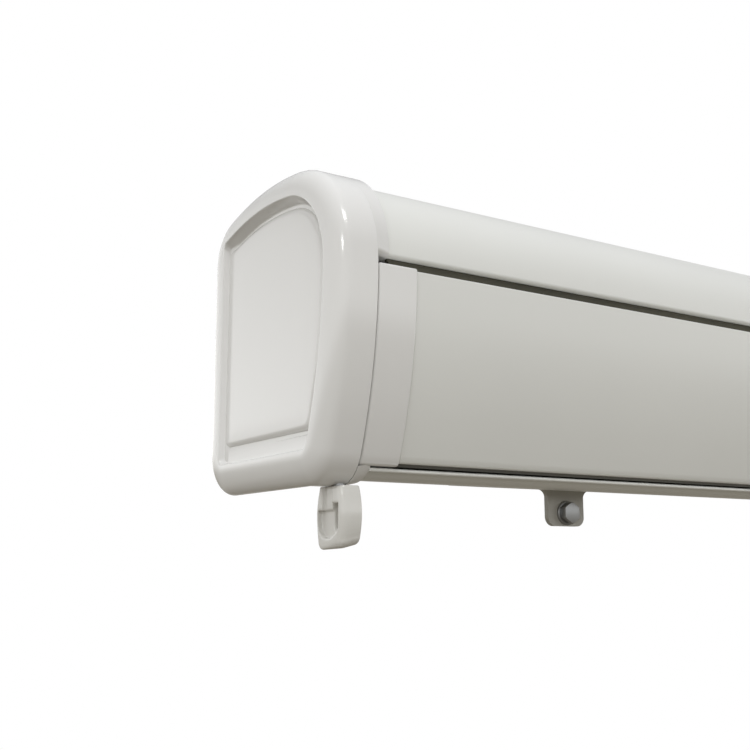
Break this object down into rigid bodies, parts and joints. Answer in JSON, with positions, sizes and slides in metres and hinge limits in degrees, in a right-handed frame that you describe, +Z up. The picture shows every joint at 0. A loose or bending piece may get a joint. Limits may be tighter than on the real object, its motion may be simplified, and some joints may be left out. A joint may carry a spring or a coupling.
{
  "type": "cassette awning",
  "caption": "Wall-mounted cassette awning with folding arms, wound cloth, crank eye and clamp brackets, stored closed.",
  "frame": {"origin": "on the wall, in the middle of the four wall holes of the two brackets", "axes": "+X along the case to its right end seen from the front, +Y into the wall, +Z up; the awning opens towards -Y"},
  "size_m": [1.9, 0.142, 0.1769],
  "materials": {
    "case_coat": "satin white powder coat",
    "cap_plastic": "glossy moulded plastic",
    "frame_coat": "satin white powder coat",
    "eye_plastic": "glossy moulded plastic",
    "bracket_coat": "powder coat",
    "bolt_steel": "zinc plated",
    "gear_brass": "machined",
    "bearing_plastic": "matt",
    "roller_steel": "galvanised",
    "plug_metal": "die cast",
    "cloth": "woven acrylic",
    "hem_metal": "extruded",
    "brush_fibre": "fibre",
    "seal_rubber": "matt",
    "arm_coat": "satin white powder coat",
    "cast_coat": "satin powder coat on cast aluminium",
    "pin_steel": "ground"
  },
  "bodies": {
    "case": {"cap_screws": "bolt_steel", "case_floor": "case_coat", "case_shell": "case_coat", "clamp_bolts": "bolt_steel", "clamp_jaw_left": "bracket_coat", "clamp_jaw_right": "bracket_coat", "end_cap_left": "cap_plastic", "end_cap_right": "cap_plastic", "end_frame_left": "frame_coat", "end_frame_right": "frame_coat", "lip_brush": "brush_fibre", "roller_bush_left": "bearing_plastic", "roller_bush_right": "bearing_plastic", "shoulder_bracket_left": "cast_coat", "shoulder_bracket_right": "cast_coat", "shoulder_pin_left": "pin_steel", "shoulder_pin_right": "pin_steel", "spindle_bearings": "bearing_plastic", "wall_bracket_left": "bracket_coat", "wall_bracket_right": "bracket_coat"},
    "roller": {"roller_tube": "roller_steel", "roller_plug_left": "plug_metal", "roller_plug_right": "plug_metal", "fabric_roll": "cloth", "worm_wheel": "gear_brass"},
    "crank": {"worm_spindle": "bolt_steel", "crank_eye": "eye_plastic"},
    "upper_arm_left": {"upper_arm_left": "arm_coat", "shoulder_knuckle_left": "cast_coat", "upper_elbow_left": "cast_coat", "elbow_pin_left": "pin_steel"},
    "forearm_left": {"forearm_left": "arm_coat", "wrist_knuckle_left": "cast_coat", "fore_elbow_left": "cast_coat"},
    "lead_rail": {"lead_rail_profile": "case_coat", "rail_cap_left": "cap_plastic", "rail_cap_right": "cap_plastic", "rail_bottom_seal": "seal_rubber", "wrist_bracket_left": "cast_coat", "wrist_bracket_right": "cast_coat", "wrist_pin_left": "pin_steel", "wrist_pin_right": "pin_steel"},
    "upper_arm_right": {"upper_arm_right": "arm_coat", "shoulder_knuckle_right": "cast_coat", "upper_elbow_right": "cast_coat", "elbow_pin_right": "pin_steel"},
    "forearm_right": {"forearm_right": "arm_coat", "wrist_knuckle_right": "cast_coat", "fore_elbow_right": "cast_coat"},
    "cloth_hem": {"hem_bar": "hem_metal"}
  },
  "joints": [
    {"name": "left_shoulder", "type": "hinge", "parent": "case", "child": "upper_arm_left", "pos_m": [-0.875, -0.051, -0.05], "axis": [0, 0, -1], "range_deg": [0, 70]},
    {"name": "left_elbow", "type": "hinge", "parent": "upper_arm_left", "child": "forearm_left", "pos_m": [-0.13533, -0.073, -0.036], "axis": [0, 0, 1], "range_deg": [0, 140]},
    {"name": "left_wrist", "type": "hinge", "parent": "forearm_left", "child": "lead_rail", "pos_m": [-0.875, -0.095, -0.022], "axis": [0, 0, -1], "range_deg": [0, 70]},
    {"name": "right_shoulder", "type": "hinge", "parent": "case", "child": "upper_arm_right", "pos_m": [0.875, -0.051, -0.05], "axis": [0, 0, 1], "range_deg": [0, 70]},
    {"name": "right_elbow", "type": "hinge", "parent": "upper_arm_right", "child": "forearm_right", "pos_m": [0.13533, -0.073, -0.036], "axis": [0, 0, -1], "range_deg": [0, 140]},
    {"name": "hem_travel", "type": "slide", "parent": "case", "child": "cloth_hem", "axis": [0, -1, 0], "range_m": [0, 1.36118]},
    {"name": "roller_turn", "type": "hinge", "parent": "case", "child": "roller", "pos_m": [0, -0.076, 0.031], "axis": [-1, 0, 0], "continuous": true},
    {"name": "crank_turn", "type": "hinge", "parent": "case", "child": "crank", "pos_m": [-0.9322, -0.1134, -0.08], "axis": [0, 0, 1], "continuous": true}
  ],
  "couplings": [
    {"joint": "left_elbow", "follows": "left_shoulder", "ratio": 2},
    {"joint": "left_wrist", "follows": "left_shoulder", "ratio": 1},
    {"joint": "right_shoulder", "follows": "left_shoulder", "ratio": 1},
    {"joint": "right_elbow", "follows": "left_shoulder", "ratio": 2},
    {"joint": "hem_travel", "follows": "left_shoulder", "m_per_rad": 1.1141},
    {"joint": "roller_turn", "follows": "left_shoulder", "ratio": 36},
    {"joint": "crank_turn", "follows": "left_shoulder", "ratio": 360}
  ]
}
